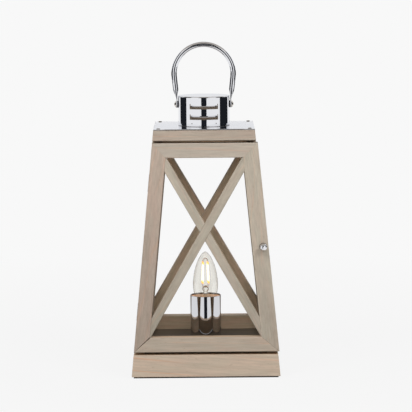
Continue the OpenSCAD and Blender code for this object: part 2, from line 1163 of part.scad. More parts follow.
module nipple_nut() {
  color(STEEL)
    translate([0, 0, plinth_top - nipple_nut_t])
      difference() {
        cylinder(h = nipple_nut_t, d = nipple_nut_across / cos(30), $fn = 6);
        translate([0, 0, -over])
          cylinder(h = nipple_nut_t + 2 * over, r = nipple_r + screw_play);
      }
}

// Two-way block on the bottom board: the leads enter from the front, the cord from behind
module terminal_block() {
  color(BAKELITE)
    difference() {
      translate([-block_size[0] / 2, block_y[0], bottom_top])
        cube([block_size[0], block_y[1] - block_y[0], block_size[1]]);
      for (s = [-1, 1]) {
        translate([s * block_size[0] / 4, block_y[0] - over, lead_z])
          rotate([-90, 0, 0])
            cylinder(h = block_y[1] - block_y[0] + 2 * over, r = lead_r + screw_play);
        translate([s * block_size[0] / 4, (block_y[0] + block_y[1]) / 2, lead_z + clamp_rise])
          cylinder(h = block_size[1], r = clamp_r);
      }
    }
}

// A lead drops through the nipple, bends towards the block and runs into it
module lead_run(s) {
  reach = [s * (block_size[0] / 4 - lead_x), block_y[0] - lead_entry, 0];
  translate([s * lead_x, 0, lead_z]) {
    sphere(r = lead_bend_r);
    cylinder(h = contact_z - lead_z, r = lead_r);
    rotate([-90, 0, -atan(reach[0] / reach[1])])
      cylinder(h = norm(reach), r = lead_r);
    translate(reach) {
      sphere(r = lead_bend_r);
      rotate([-90, 0, 0])
        cylinder(h = lead_in, r = lead_r);
    }
  }
}

module internal_leads() {
  color(SLEEVING)
    for (s = [-1, 1])
      lead_run(s);
}

module cable_bush() {
  color(BLACK)
    bush_frame()
      difference() {
        union() {
          cylinder(h = bush_flange_t, r = bush_flange_r);
          translate([0, 0, -plinth_t - bush_end])
            cylinder(h = plinth_t + bush_end + bush_flange_t / 2, r = bush_r);
        }
        cylinder(h = far, d = bush_bore_d, center = true);
      }
}

// ---- Bulb ----

// Candle-shaped outline, from the neck up to the tip, drawn inwards by t
function glass_outline(t) =
  let (
    r = bulb_d / 2 - t,
    neck = glass_neck_r - t,
    up = bulb_tip_z - t - glass_wide_z,
    down = glass_wide_z - cap_top
  )
  concat(
    [[neck, glass_neck_z]],
    [for (i = [0:glass_steps])
      let (s = 1 - i / glass_steps)
      [neck + (r - neck) * pow(1 - s * s, glass_belly), glass_wide_z - down * s]],
    [for (i = [1:glass_steps])
      let (s = sin(90 * i / glass_steps))
      [r * pow(1 - pow(s, glass_taper), glass_belly), glass_wide_z + up * s]]
  );

module bulb_glass() {
  inner = glass_outline(glass_t);
  color(GLASS, 0.4)
    rotate_extrude()
      polygon(concat(
        glass_outline(0),
        [for (i = [len(inner) - 1:-1:0]) inner[i]]
      ));
}

module bulb_cap() {
  collar_r = glass_neck_r + cap_collar[0];
  color(STEEL)
    rotate_extrude()
      polygon(concat(
        [for (p = cap_foot) [p[0], bulb_base_z + p[1]]],
        [for (i = [0:thread_turns - 1], p = thread_ridge)
          [cap_r - p[1], bulb_base_z + thread_start + thread_pitch * (i + p[0])]],
        [
          [cap_r, cap_top - cap_collar[2]],
          [collar_r, cap_top - cap_collar[1]],
          [collar_r, cap_top],
          [glass_neck_r, cap_top],
          [glass_neck_r, glass_neck_z],
          [0, glass_neck_z]
        ]
      ));
}

// A filament, the wire from the stem to its foot and the wire from its head to the middle
module filament_arm() {
  low = [filament_spread[0], filament_z[0]];
  high = [filament_spread[1], filament_z[1]];
  wire = [low[0], low[1] + wire_bite - stem_top + wire_root];
  translate([low[0], 0, low[1]])
    rotate([0, -atan((low[0] - high[0]) / (high[1] - low[1])), 0])
      cylinder(h = norm(high - low), r = filament_r, $fn = 16);
  translate([0, 0, stem_top - wire_root])
    rotate([0, atan(wire[0] / wire[1]), 0])
      cylinder(h = norm(wire), r = wire_r, $fn = 16);
  translate([high[0], 0, high[1] - wire_bite])
    rotate([0, -wire_lean, 0])
      cylinder(h = high[0] / sin(wire_lean) + weld, r = wire_r, $fn = 16);
}

// Glass stem with four upright filaments on wire arms
module bulb_filaments() {
  color(GLASS)
    rotate_extrude()
      polygon(concat([[0, glass_neck_z]], stem, [[0, stem_top]]));
  color(AMBER)
    for (i = [0:3])
      rotate([0, 0, filament_turn + 90 * i])
        filament_arm();
}

door_left_stile();
door_right_stile();
door_top_rail();
door_bottom_rail();
door_rising_brace();
door_falling_brace();
back_left_stile();
back_right_stile();
back_top_rail();
back_bottom_rail();
back_rising_brace();
back_falling_brace();
left_rear_stile();
left_front_stile();
left_top_rail();
left_bottom_rail();
left_rising_brace();
left_falling_brace();
right_front_stile();
right_rear_stile();
right_top_rail();
right_bottom_rail();
right_rising_brace();
right_falling_brace();
plinth_front();
plinth_back();
plinth_left();
plinth_right();
floor_board();
bottom_board();
base_felt();
base_screws();
top_board();
top_plate();
plate_screws();
chimney();
handle();
handle_screws();
handle_washers();
handle_nuts();
door_knob();
knob_screw();
hinge_door_leaves();
hinge_frame_leaves();
hinge_pins();
hinge_door_screws();
hinge_frame_screws();
magnet_catch();
striker_plate();
lamp_sleeve();
lampholder();
lampholder_contacts();
nipple();
nipple_nut();
terminal_block();
internal_leads();
cable_bush();
bulb_glass();
bulb_cap();
bulb_filaments();
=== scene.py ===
import math

import bmesh
import bpy
from mathutils import Matrix, Vector


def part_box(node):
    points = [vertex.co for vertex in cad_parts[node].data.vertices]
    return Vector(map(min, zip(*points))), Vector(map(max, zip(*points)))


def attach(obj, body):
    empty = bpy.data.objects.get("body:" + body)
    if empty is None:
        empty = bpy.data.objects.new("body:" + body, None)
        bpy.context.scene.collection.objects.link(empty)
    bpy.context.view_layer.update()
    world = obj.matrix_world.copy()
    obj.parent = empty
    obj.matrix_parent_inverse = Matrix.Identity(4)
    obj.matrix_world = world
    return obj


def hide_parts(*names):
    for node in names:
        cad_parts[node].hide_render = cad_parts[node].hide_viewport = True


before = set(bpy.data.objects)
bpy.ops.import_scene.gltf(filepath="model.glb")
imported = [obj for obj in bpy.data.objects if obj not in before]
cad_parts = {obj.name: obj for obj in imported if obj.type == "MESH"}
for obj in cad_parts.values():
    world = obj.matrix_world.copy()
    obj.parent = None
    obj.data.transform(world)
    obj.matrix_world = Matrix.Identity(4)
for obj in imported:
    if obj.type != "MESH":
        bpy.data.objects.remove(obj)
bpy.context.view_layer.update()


# ---- The view ----
# The lamp is seen from three metres away and a little above, through a long lens that stands
# almost in front of it. The camera is turned by half a degree about its own line of sight.

mm = 0.001
view_place = Vector((5, -2993.8, 578.9)) * mm
view_down, view_pan, view_roll = math.radians(6.783), math.radians(-0.063), math.radians(0.504)

lens = bpy.data.cameras.new("view")
lens.sensor_width = 36
lens.lens = 189.81
camera = bpy.data.objects.new("view", lens)
bpy.context.scene.collection.objects.link(camera)
camera.matrix_world = (
    Matrix.Translation(view_place)
    @ Matrix.Rotation(-view_pan, 4, "Z")
    @ Matrix.Rotation(math.radians(90) - view_down, 4, "X")
    @ Matrix.Rotation(-view_roll, 4, "Z")
)
bpy.context.scene.camera = camera
bpy.context.scene.view_settings.view_transform = "Standard"


# ---- The studio ----
# A white table in a white room, lit by two soft boxes in front and one overhead. Dark boards, a pale one
# and a grey ceiling stand round the set, and only what mirrors them shows them.

def srgb(red, green, blue):
    """A colour as a picture shows it, from 0 to 255, made linear and opaque."""
    def linear(value):
        value /= 255
        return value / 12.92 if value <= 0.04045 else ((value + 0.055) / 1.055) ** 2.4
    return (linear(red), linear(green), linear(blue), 1.0)


def node(tree, kind, **settings):
    """A shader node with its properties and its unlinked sockets set."""
    made = tree.nodes.new(kind)
    for name, value in settings.items():
        if name in made.bl_rna.properties:
            setattr(made, name, value)
        else:
            made.inputs[name.replace("_", " ")].default_value = value
    return made


def link(tree, source, output, target, socket):
    tree.links.new(source.outputs[output], target.inputs[socket])


def seen_directly(tree):
    """1 for camera, mirror and glass rays, and 0 for the rays that carry light."""
    rays = node(tree, "ShaderNodeLightPath")
    either = node(tree, "ShaderNodeMath", operation="MAXIMUM")
    any_of = node(tree, "ShaderNodeMath", operation="MAXIMUM")
    link(tree, rays, "Is Camera Ray", either, 0)
    link(tree, rays, "Is Glossy Ray", either, 1)
    link(tree, either, 0, any_of, 0)
    link(tree, rays, "Is Transmission Ray", any_of, 1)
    return any_of


def shown_by(tree, share, hidden, shown, output_kind):
    """Puts out the shown shader in proportion to the share, and the hidden one for the rest."""
    pick = node(tree, "ShaderNodeMixShader")
    out = node(tree, output_kind)
    link(tree, share, 0, pick, 0)
    link(tree, hidden, 0, pick, 1)
    link(tree, shown, 0, pick, 2)
    link(tree, pick, 0, out, "Surface")


def made_object(name, bm, finishes):
    """The bmesh as a new object of the scene."""
    mesh = bpy.data.meshes.new(name)
    bm.to_mesh(mesh)
    bm.free()
    for finish in finishes:
        mesh.materials.append(finish)
    made = bpy.data.objects.new(name, mesh)
    bpy.context.scene.collection.objects.link(made)
    return made


room_white = srgb(248, 248, 248)
room_light = 0.34

world = bpy.data.worlds.new("room")
bpy.context.scene.world = world
world.use_nodes = True
room = world.node_tree
room.nodes.clear()
lit = node(room, "ShaderNodeBackground", Color=(1, 1, 1, 1), Strength=room_light)
shown = node(room, "ShaderNodeBackground", Color=room_white, Strength=1.0)
shown_by(room, seen_directly(room), lit, shown, "ShaderNodeOutputWorld")

# The table is partly its own white, so that the lamp's shadow on it stays faint, and wholly white further off
table_half = 6.0
table_own_white = 0.935
shadow_from, shadow_to = 0.25, 1.1

surface = bpy.data.materials.new("white_table")
surface.use_nodes = True
tree = surface.node_tree
tree.nodes.clear()
place = node(tree, "ShaderNodeTexCoord")
away = node(tree, "ShaderNodeVectorMath", operation="LENGTH")
fade = node(tree, "ShaderNodeMapRange", From_Min=shadow_from, From_Max=shadow_to,
            To_Min=table_own_white, To_Max=1.0)
share = node(tree, "ShaderNodeMath", operation="MULTIPLY")
matt = node(tree, "ShaderNodeBsdfDiffuse", Color=srgb(205, 205, 205))
own = node(tree, "ShaderNodeEmission", Color=room_white, Strength=1.0)
link(tree, place, "Object", away, 0)
link(tree, away, "Value", fade, "Value")
link(tree, seen_directly(tree), 0, share, 0)
link(tree, fade, 0, share, 1)
shown_by(tree, share, matt, own, "ShaderNodeOutputMaterial")

bm = bmesh.new()
bmesh.ops.create_grid(bm, x_segments=2, y_segments=2, size=table_half)
made_object("table", bm, [surface])

# The soft boxes light the set and aren't mirrored in the metal. For each: its place, its size and its power
lamps_aim = Vector((0, 0, 0.2))
soft_boxes = {
    "front_left_box": ((-1.15, -1.4, 1.85), 0.9, 21.5),
    "front_right_box": ((1.25, -1.4, 1.75), 0.9, 22.0),
    "top_box": ((0, -0.3, 2.2), 1.2, 11),
}
for name, (place, size, power) in soft_boxes.items():
    lamp = bpy.data.lights.new(name, "AREA")
    lamp.shape = "SQUARE"
    lamp.size = size
    lamp.energy = power
    held = bpy.data.objects.new(name, lamp)
    bpy.context.scene.collection.objects.link(held)
    turn = (lamps_aim - Vector(place)).to_track_quat("-Z", "Y").to_matrix().to_4x4()
    held.matrix_world = Matrix.Translation(place) @ turn
    held.visible_glossy = False
    held.visible_transmission = False

# Each board: the distances of its foot and its head, the bearings of its two edges in degrees to the right of
# the front, the heights of its foot and its head, and its colour. The upper and high boards and the ceiling
# are mirrored in the handle, the knob and the rounded edges, and the pale board in the top plate
near_black = srgb(30, 32, 37)
above_table, board_steps = 0.0005, 24
boards = {
    "front_board": (0.3, 0.3, -11.2, 11.2, 0.0, 0.361, near_black),
    "left_board": (1.25, 1.25, -130, -84, 0.0, 0.66, near_black),
    "right_board": (1.25, 1.25, 75, 131, 0.0, 0.66, near_black),
    "upper_front_board": (0.3, 0.3, -24, 24, 0.361, 0.43, near_black),
    "far_front_board": (1.25, 1.25, -20, 20, 0.44, 1.5, near_black),
    "upper_left_board": (1.25, 1.25, -106, -84, 0.66, 1.5, near_black),
    "upper_right_board": (1.25, 1.25, 75, 106, 0.66, 1.5, near_black),
    "high_left_board": (0.3, 0.3, -84, -58, 0.361, 0.66, near_black),
    "high_right_board": (0.3, 0.3, 56, 76, 0.361, 0.66, near_black),
    "back_board": (1.25, 1.25, 131, 230, 0.297, 0.42, near_black),
    "pale_board": (1.25, 1.25, 120, 240, 0.43, 0.75, srgb(232, 233, 236)),
    "ceiling": (1.35, 0.05, 0, 360, 1.5, 1.52, srgb(176, 170, 163)),
}
for name, (distance, head_distance, start, end, low, high, colour) in boards.items():
    painted = bpy.data.materials.new(name)
    painted.use_nodes = True
    tree = painted.node_tree
    tree.nodes.clear()
    glow = node(tree, "ShaderNodeEmission", Color=colour, Strength=1.0)
    link(tree, glow, 0, node(tree, "ShaderNodeOutputMaterial"), "Surface")
    bm = bmesh.new()
    foot = bm.verts.new((0, -distance, low + above_table))
    head = bm.verts.new((0, -head_distance, high))
    edge = bm.edges.new((foot, head))
    to_start = Matrix.Rotation(math.radians(start), 3, "Z")
    bmesh.ops.rotate(bm, verts=[foot, head], cent=(0, 0, 0), matrix=to_start)
    bmesh.ops.spin(bm, geom=[edge, foot, head], cent=(0, 0, 0), axis=(0, 0, 1), dvec=(0, 0, 0),
                   angle=math.radians(end - start), steps=board_steps)
    board = made_object(name, bm, [painted])
    for ray in ("camera", "diffuse", "transmission", "volume_scatter", "shadow"):
        setattr(board, "visible_" + ray, False)


# ---- Wooden frames ----
# Stiles, rails and braces sawn from a pale hardwood, planed, and eased along every arris with a small cutter.
# They are stained brown and rubbed over with a thin grey wash, which is worn off along the arrises. The
# arrises are also painted lighter, as a painted highlight.

lean = math.radians(5.5)
brace_angle = math.radians(60)
side_brace_angle = math.radians(62.558)
wide_arris = 1.2 * mm
fine_arris = 0.35 * mm
shrinkage, shrunk_within = 0.95 * mm, 9 * mm
# Worn arrises are painted lighter by this gain, for the wear and as a painted highlight where they turn to
# the light
worn_and_highlight_gain = 1.32

# A Mix node's first and second colour, and the colour that it puts out
first_colour, second_colour, mixed_colour = 6, 7, 2


def grain_group():
    """Long fibres, soft bands, patches of thicker wash, a few warm growth lines and short dark pores.
    Faces that look into the case are browner, for less wash and as a painted shade."""
    group = bpy.data.node_groups.new("washed_grain", "ShaderNodeTree")
    kinds = {
        "Vector": "Vector", "Grey": "Color", "Warm": "Color", "Line": "Color", "Lines": "Float",
        "Worn": "Color", "WearAndHighlight": "Float", "Inside": "Float", "DirtAndShade": "Float", "Shade": "Float",
    }
    for name, kind in kinds.items():
        group.interface.new_socket(name, in_out="INPUT", socket_type="NodeSocket" + kind)
    for name, kind in {"Color": "Color", "Roughness": "Float", "Height": "Float"}.items():
        group.interface.new_socket(name, in_out="OUTPUT", socket_type="NodeSocket" + kind)
    given = node(group, "NodeGroupInput")
    given_out = node(group, "NodeGroupOutput")

    def feed(source, target, socket):
        """Gives a socket a value, one of the group's inputs by its name, or what a node puts out."""
        if isinstance(source, (tuple, float)):
            target.inputs[socket].default_value = source
        elif isinstance(source, str):
            link(group, given, source, target, socket)
        else:
            link(group, source, mixed_colour if source.bl_idname == "ShaderNodeMix" else 0, target, socket)

    def scaled(along, across):
        """The place on the piece, with so many features a metre along the grain and across it."""
        place = node(group, "ShaderNodeVectorMath", operation="MULTIPLY")
        feed("Vector", place, 0)
        feed((along, across, across), place, 1)
        return place

    def stretched(along, across, detail, rough=0.5):
        """Noise drawn out along the grain."""
        noise = node(group, "ShaderNodeTexNoise", Scale=1.0, Detail=detail, Roughness=rough)
        feed(scaled(along, across), noise, "Vector")
        return noise

    def ramp(source, low, high, to_low=0.0, to_high=1.0):
        shaped = node(group, "ShaderNodeMapRange", interpolation_type="SMOOTHSTEP",
                      From_Min=low, From_Max=high, To_Min=to_low, To_Max=to_high)
        feed(source, shaped, "Value")
        return shaped

    def times(first, second):
        product = node(group, "ShaderNodeMath", operation="MULTIPLY")
        feed(first, product, 0)
        feed(second, product, 1)
        return product

    def mixed(factor, first, second, blend="MIX"):
        mix = node(group, "ShaderNodeMix", data_type="RGBA", blend_type=blend)
        feed(factor, mix, 0)
        feed(first, mix, first_colour)
        feed(second, mix, second_colour)
        return mix

    # Thicker and thinner wash, soft bands, fibres and their shades, pores, where growth lines show, and where
    # the arrises are worn and painted lighter as a painted highlight
    patches = ramp(stretched(22, 120, 2.0), 0.36, 0.64)
    bands = ramp(stretched(9, 170, 3.0), 0.30, 0.70, 0.95, 1.045)
    fibres = stretched(34, 560, 4.0, 0.65)
    fine = ramp(fibres, 0.28, 0.72, 0.90, 1.085)
    pores = ramp(stretched(190, 900, 1.0), 0.68, 0.78)
    sparse = ramp(stretched(5, 14, 1.0), 0.40, 0.52)
    patchy = ramp(stretched(60, 200, 2.0), 0.22, 0.50)
    rings = node(group, "ShaderNodeTexWave", bands_direction="DIAGONAL", Scale=48.0, Distortion=5.0,
                 Detail=1.0, Detail_Scale=0.8)
    feed(scaled(0.03, 1), rings, "Vector")
    growth_lines = times(times(ramp(rings, 0.96, 1.0), sparse), "Lines")

    # The colour is put together in layers: wood and wash, growth lines, light and dark fibres, the browner
    # inside with its painted shade, pores, worn arrises with their painted highlight, and dirt in the joints
    # together with the painted shade of the dark gap
    inside_brown_and_shade = (1.0, 0.91, 0.79, 1)
    pore_brown = (0.16, 0.115, 0.08, 1)
    dirt_and_shade_brown = (0.055, 0.042, 0.032, 1)
    shade = node(group, "ShaderNodeVectorMath", operation="SCALE")
    feed(mixed(growth_lines, mixed(patches, "Grey", "Warm"), "Line"), shade, 0)
    feed(times(times(bands, fine), "Shade"), shade, "Scale")
    colour = mixed("Inside", shade, inside_brown_and_shade, blend="MULTIPLY")
    colour = mixed(times(pores, 0.32), colour, pore_brown)
    colour = mixed(times(patchy, "WearAndHighlight"), colour, "Worn")
    feed(mixed("DirtAndShade", colour, dirt_and_shade_brown), given_out, "Color")

    feed(ramp(fibres, 0.25, 0.75, 0.52, 0.68), given_out, "Roughness")
    relief = node(group, "ShaderNodeMath", operation="MULTIPLY_ADD")
    feed(pores, relief, 0)
    feed(-0.8, relief, 1)
    feed(fibres, relief, 2)
    feed(relief, given_out, "Height")
    return group


washed_grain = grain_group()


def new_finish(name):
    """A material, with its node tree, its shader and a node for the place on the object."""
    finish = bpy.data.materials.new(name)
    finish.use_nodes = True
    tree = finish.node_tree
    return finish, tree, tree.nodes["Principled BSDF"], node(tree, "ShaderNodeTexCoord")


def raise_surface(tree, source, output, shader, strength, distance):
    """Lets a node's output stand up from the surface."""
    bump = node(tree, "ShaderNodeBump", Strength=strength, Distance=distance)
    link(tree, source, output, bump, "Height")
    link(tree, bump, 0, shader, "Normal")


def washed_wood(name, along, grey, warm, lines=0.25, shift=(0, 0, 0), foot=1.0, up_to=0.20, gloss=0.25):
    """The washed wood with its fibres running along a direction. Below up_to it is painted darker towards its
    foot, a painted shade for the light that falls off lower down.
    """
    finish, tree, shader, place = new_finish(name)
    shader.inputs["Specular IOR Level"].default_value = gloss
    turn = node(tree, "ShaderNodeMapping")
    turn.inputs["Rotation"].default_value = Vector(along).rotation_difference(Vector((1, 0, 0))).to_euler()
    turn.inputs["Location"].default_value = shift
    worn_and_highlight = tuple(min(1, c * worn_and_highlight_gain) for c in grey[:3]) + (1,)
    grain = node(tree, "ShaderNodeGroup", node_tree=washed_grain, Grey=grey, Warm=warm,
                 Line=srgb(203, 163, 135), Lines=lines, Worn=worn_and_highlight)
    parts = node(tree, "ShaderNodeSeparateXYZ")
    painted_foot_shade = node(tree, "ShaderNodeMapRange", interpolation_type="SMOOTHSTEP", From_Min=0.03, From_Max=up_to,
                  To_Min=foot, To_Max=1.0)
    link(tree, place, "Object", parts, 0)
    link(tree, parts, "Z", painted_foot_shade, "Value")
    link(tree, painted_foot_shade, 0, grain, "Shade")
    for mask, socket, most in (("arris", "WearAndHighlight", 0.85), ("inside", "Inside", 1.0), ("dirt_and_shade", "DirtAndShade", 0.9)):
        marked = node(tree, "ShaderNodeAttribute", attribute_name=mask)
        amount = node(tree, "ShaderNodeMath", operation="MULTIPLY")
        amount.inputs[1].default_value = most
        link(tree, marked, "Fac", amount, 0)
        link(tree, amount, 0, grain, socket)
    link(tree, place, "Object", turn, "Vector")
    link(tree, turn, 0, grain, "Vector")
    link(tree, grain, "Color", shader, "Base Color")
    link(tree, grain, "Roughness", shader, "Roughness")
    raise_surface(tree, grain, "Height", shader, 0.35, 0.12 * mm)
    return finish


def finished(name, bm, finish, body, nodes=(), smooth=30, even=False):
    """Turns a bmesh into a piece that rides on a body and stands for the given nodes.
    An even piece keeps its wide faces true, and lets only its rounded edges turn the light."""
    piece = made_object(name, bm, finish if isinstance(finish, list) else [finish])
    piece.data.shade_smooth()
    piece.data.set_sharp_from_angle(angle=math.radians(smooth))
    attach(piece, body)
    if nodes:
        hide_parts(*nodes)
    if even:
        true_faces = piece.modifiers.new("even", "WEIGHTED_NORMAL")
        true_faces.keep_sharp = True
        true_faces.weight = 100
    return piece


def solid_of(name):
    """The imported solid, merged, with its flat faces whole again."""
    bm = bmesh.new()
    bm.from_mesh(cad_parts[name].data)
    bmesh.ops.remove_doubles(bm, verts=bm.verts, dist=1e-6)
    bmesh.ops.dissolve_limit(bm, angle_limit=math.radians(0.5), verts=bm.verts, edges=bm.edges)
    return bm


def stands_out(edge, least):
    """Whether two faces meet at an edge and stand out there by more than so many degrees."""
    return len(edge.link_faces) == 2 and edge.is_convex and edge.calc_face_angle() > math.radians(least)


def eased(bm, edges, offset, segments):
    """Rounds the edges, or chamfers them where there is one segment. Gives what was cut."""
    return bmesh.ops.bevel(bm, geom=edges, offset=offset, offset_type="OFFSET", segments=segments,
                           profile=0.5, affect="EDGES", clamp_overlap=True, material=-1)


def wooden_member(name, along, shown, finish, body, wide=wide_arris, fine=fine_arris,
                  gaping=None, stained=None):
    """A member with rounded long arrises and barely eased ends, so that the mitres stay tight.
    The faces that look in one of the shown directions are washed, and the others are browner, partly as a
    painted shade. A corner at a gaping joint has shrunk back along its arrises, and the face that looks in
    the direction given for a shaded face is painted near black, a painted shade for the dark gap that it lies
    in."""
    bm = solid_of(name)
    along = Vector(along).normalized()
    arris = bm.verts.layers.float.new("arris")
    inside = bm.faces.layers.float.new("inside")
    dirt_and_shade = bm.faces.layers.float.new("dirt_and_shade")

    def is_end(face):
        return abs(face.normal.dot(along)) > 0.3

    for vertex in bm.verts:
        if gaping and (vertex.co - gaping).length < shrunk_within:
            run = max(vertex.link_edges, key=lambda e: e.calc_length())
            vertex.co += (run.other_vert(vertex).co - vertex.co).normalized() * shrinkage
    for face in bm.faces:
        face[inside] = float(all(face.normal.dot(Vector(side)) < 0.3 for side in shown))
        face[dirt_and_shade] = float(stained is not None and face.normal.dot(Vector(stained)) > 0.9)

    arrises = [
        e for e in bm.edges
        if stands_out(e, 20) and e.calc_length() > 30 * mm and not any(is_end(f) for f in e.link_faces)
    ]
    cut = eased(bm, arrises, wide, 4)
    flat = set(bm.faces) - set(cut["faces"])
    for vertex in cut["verts"]:
        vertex[arris] = float(not any(f in flat for f in vertex.link_faces))
    for face in cut["faces"]:
        face[inside] = face[dirt_and_shade] = 0.0

    # The rims of the ends collect dirt, apart from those of the door's upper mitres, which closed tight
    rims = [
        e for e in bm.edges
        if stands_out(e, 20) and sum(is_end(f) for f in e.link_faces) == 1 and e.calc_length() > 4 * mm
    ]
    mitred = name.startswith("door_") and "brace" not in name
    for face in eased(bm, rims, fine, 1)["faces"]:
        face[dirt_and_shade] = 0.15 if mitred and face.calc_center_median().z > 200 * mm else 1.0
    return finished(name + "_finished", bm, finish, body, [name], even=True)


leaning_right = (math.tan(lean), 0, 1)
leaning_left = (-math.tan(lean), 0, 1)
rising = (math.cos(brace_angle), 0, math.sin(brace_angle))
falling = (-math.cos(brace_angle), 0, math.sin(brace_angle))
across = (1, 0, 0)
front_faces, back_faces, left_faces, right_faces = [(0, -1, 0)], [(0, 1, 0)], [(-1, 0, 0)], [(1, 0, 0)]


def door_member(name, along, grey, warm, wash, **joints):
    """A member of the door. Each came from another board, and took the stain a little differently."""
    finish = washed_wood("wood_" + name, along, srgb(*grey), srgb(*warm), **wash)
    wooden_member("door_" + name, along, front_faces, finish, "door", **joints)


# The lower left mitre gapes at its inner corner, and the top edge lies in the dark gap under the top board,
# where its upper face is painted near black as a painted shade
open_mitre = Vector((-75.7, -88.7, 55.3)) * mm
# The foot values paint the stiles and braces darker towards their feet, a painted shade
door_member("left_stile", leaning_right, (184, 168, 153), (188, 168, 153), {"foot": 0.78, "up_to": 0.32},
            gaping=open_mitre)
door_member("right_stile", leaning_left, (186, 176, 160), (188, 174, 158),
            {"shift": (0.3, 0, 0), "foot": 0.80})
door_member("top_rail", across, (182, 171, 157), (187, 171, 157), {"shift": (0, 0.2, 0)}, stained=(0, 0, 1))
door_member("bottom_rail", across, (178, 165, 149), (183, 165, 148), {"shift": (0.1, 0.3, 0)},
            gaping=open_mitre)
door_member("rising_brace", rising, (179, 170, 154), (181, 169, 153), {"foot": 0.76})
door_member("falling_brace", falling, (180, 171, 155), (182, 170, 155), {"shift": (0, 0, 0.4), "foot": 0.84})

# The back is the same frame, fixed, and seen from inside it shows its brown side, partly a painted shade
back_grey, back_warm = srgb(183, 172, 156), srgb(190, 172, 157)
for name, along in (("left_stile", leaning_right), ("right_stile", leaning_left), ("top_rail", across),
                    ("bottom_rail", across), ("rising_brace", falling), ("falling_brace", rising)):
    finish = washed_wood("wood_back_" + name, along, back_grey, back_warm, shift=(0.07 * len(name), 0, 0.1))
    wooden_member("back_" + name, along, back_faces, finish, "case")

# The side frames
brace_run, brace_rise = math.cos(side_brace_angle), math.sin(side_brace_angle)
for side, turn, faces in (("left", -1, left_faces), ("right", 1, right_faces)):
    for name, along in (("front_stile", (0, math.tan(lean), 1)), ("rear_stile", (0, -math.tan(lean), 1)),
                        ("top_rail", (0, 1, 0)), ("bottom_rail", (0, 1, 0)),
                        ("rising_brace", (0, turn * brace_run, brace_rise)),
                        ("falling_brace", (0, -turn * brace_run, brace_rise))):
        finish = washed_wood("wood_%s_%s" % (side, name), along, back_grey, back_warm,
                             shift=(0.05 * len(name), 0.3 * turn, 0))
        wooden_member(side + "_" + name, along, faces, finish, "case")


# ---- Plinth, top board and floor ----
# The plinth is four mitred boards whose outer faces lean with the case. The top board is one thick square.
# The plinth's grain runs a little uphill and shows warm growth lines. The floor board is dark.

plinth_grain = (1, 0, -0.07)
for side, shown, run, along, shift in (("front", front_faces, across, plinth_grain, (0.05, 0.03, 0.11)),
                                       ("back", back_faces, across, plinth_grain, (0.4, 0.1, 0)),
                                       ("left", left_faces, (0, 1, 0), (0, 1, -0.06), (0.2, 0, 0.05)),
                                       ("right", right_faces, (0, 1, 0), (0, 1, 0.05), (0.1, 0.2, 0))):
    finish = washed_wood("wood_plinth_" + side, along, srgb(192, 176, 157), srgb(196, 176, 157), lines=0.68,
                         shift=shift)
    wooden_member("plinth_" + side, run, shown, finish, "case", wide=0.6 * mm)

finish = washed_wood("wood_top_board", across, srgb(178, 165, 150), srgb(179, 162, 147), shift=(0.2, 0, 0.07))
all_faces = [(0, 0, 1)] + front_faces + back_faces + left_faces + right_faces
wooden_member("top_board", (0, 0, 1), all_faces, finish, "case", wide=1.4 * mm, fine=0.7 * mm)

dark_board_finish = washed_wood("dark_stained_board", across, srgb(87, 81, 71), srgb(93, 84, 72), lines=0.1,
                         gloss=0.08)
wooden_member("floor_board", across, [(0, 0, 1)], dark_board_finish, "case", wide=0.4 * mm)


# ---- Polished metal ----
# Pressed and turned steel parts, copper-plated and then bright chromed. The plating is faintly uneven,
# with a few wiped streaks, and shows the whole room.

def clouded(tree, place, scale, detail, rough, colour, deep):
    """A noise, and a colour that it takes some way towards its own deeper shade."""
    noise = node(tree, "ShaderNodeTexNoise", Scale=scale, Detail=detail, Roughness=rough)
    shade = node(tree, "ShaderNodeMix", data_type="RGBA")
    shade.inputs[first_colour].default_value = colour
    shade.inputs[second_colour].default_value = tuple(c * deep for c in colour[:3]) + (1,)
    link(tree, place, "Object", noise, "Vector")
    link(tree, noise, 0, shade, 0)
    return noise, shade


def polished(name, tint, rough=0.035, ripple=0.25, lamplight=None):
    """Bright plating: a mirror with slight waves and faint wiped marks.
    Lamplight is a painted glow: the colour and the strength of the light that the hidden wall would catch
    from the bulb."""
    finish, tree, shader, place = new_finish(name)
    shader.inputs["Metallic"].default_value = 1.0
    if lamplight:
        shader.inputs["Emission Color"].default_value = lamplight[0]
        shader.inputs["Emission Strength"].default_value = lamplight[1]
    smears, shade = clouded(tree, place, 55.0, 4.0, 0.6, tint, 0.965)
    marks = node(tree, "ShaderNodeMapRange", From_Min=0.35, From_Max=0.75,
                 To_Min=rough * 0.6, To_Max=rough * 1.8)
    waves = node(tree, "ShaderNodeTexNoise", Scale=26.0, Detail=1.0)
    link(tree, place, "Object", waves, "Vector")
    link(tree, smears, 0, marks, "Value")
    link(tree, shade, mixed_colour, shader, "Base Color")
    link(tree, marks, 0, shader, "Roughness")
    raise_surface(tree, waves, 0, shader, ripple, 0.05 * mm)
    return finish


bright = srgb(236, 237, 241)
chrome = polished("bright_chrome", bright)
zinc = polished("zinc_plated_steel", srgb(176, 176, 178), rough=0.22)
brass = polished("brass", srgb(205, 168, 92), rough=0.16)
aged_steel = polished("dull_screw_steel", srgb(140, 126, 110), rough=0.30)


# ---- Top plate ----
# A thin square of chromed steel that covers the top board to its edges, with slightly rolled-over edges.
# A small screw near each corner holds it down.

